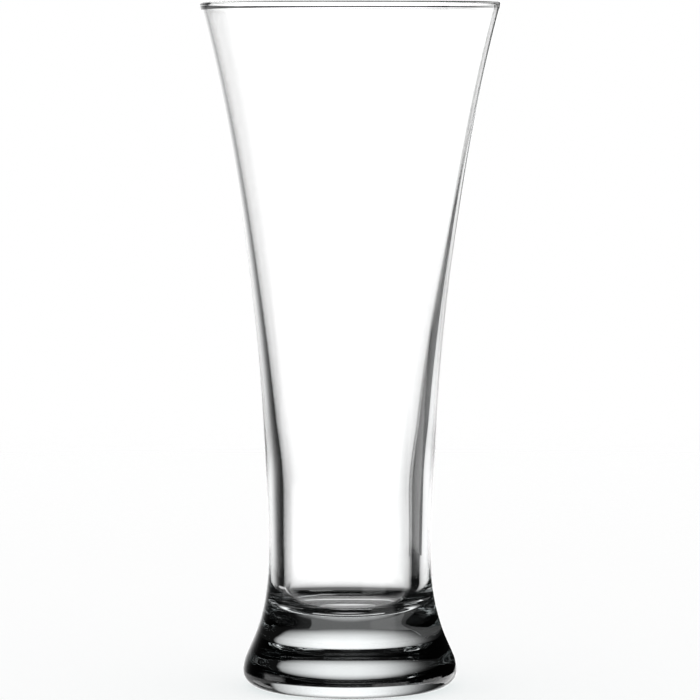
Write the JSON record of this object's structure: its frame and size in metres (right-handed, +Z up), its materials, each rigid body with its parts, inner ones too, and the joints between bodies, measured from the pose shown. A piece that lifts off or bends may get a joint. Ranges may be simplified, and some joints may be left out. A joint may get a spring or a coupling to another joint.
{
  "type": "pilsner glass",
  "caption": "Tall clear pilsner glass: a thin flared bowl that narrows to a waist, on a heavy solid flared foot.",
  "frame": {"origin": "centre of the foot on the surface that the glass stands on", "axes": "+Z up along the glass's axis of revolution, towards the lip; X and Y are equivalent"},
  "size_m": [0.0786, 0.0786, 0.18],
  "materials": {
    "clear_glass": "clear, fire-polished"
  },
  "bodies": {
    "root": {"foot": "clear_glass", "bowl": "clear_glass", "rim": "clear_glass"}
  },
  "joints": []
}
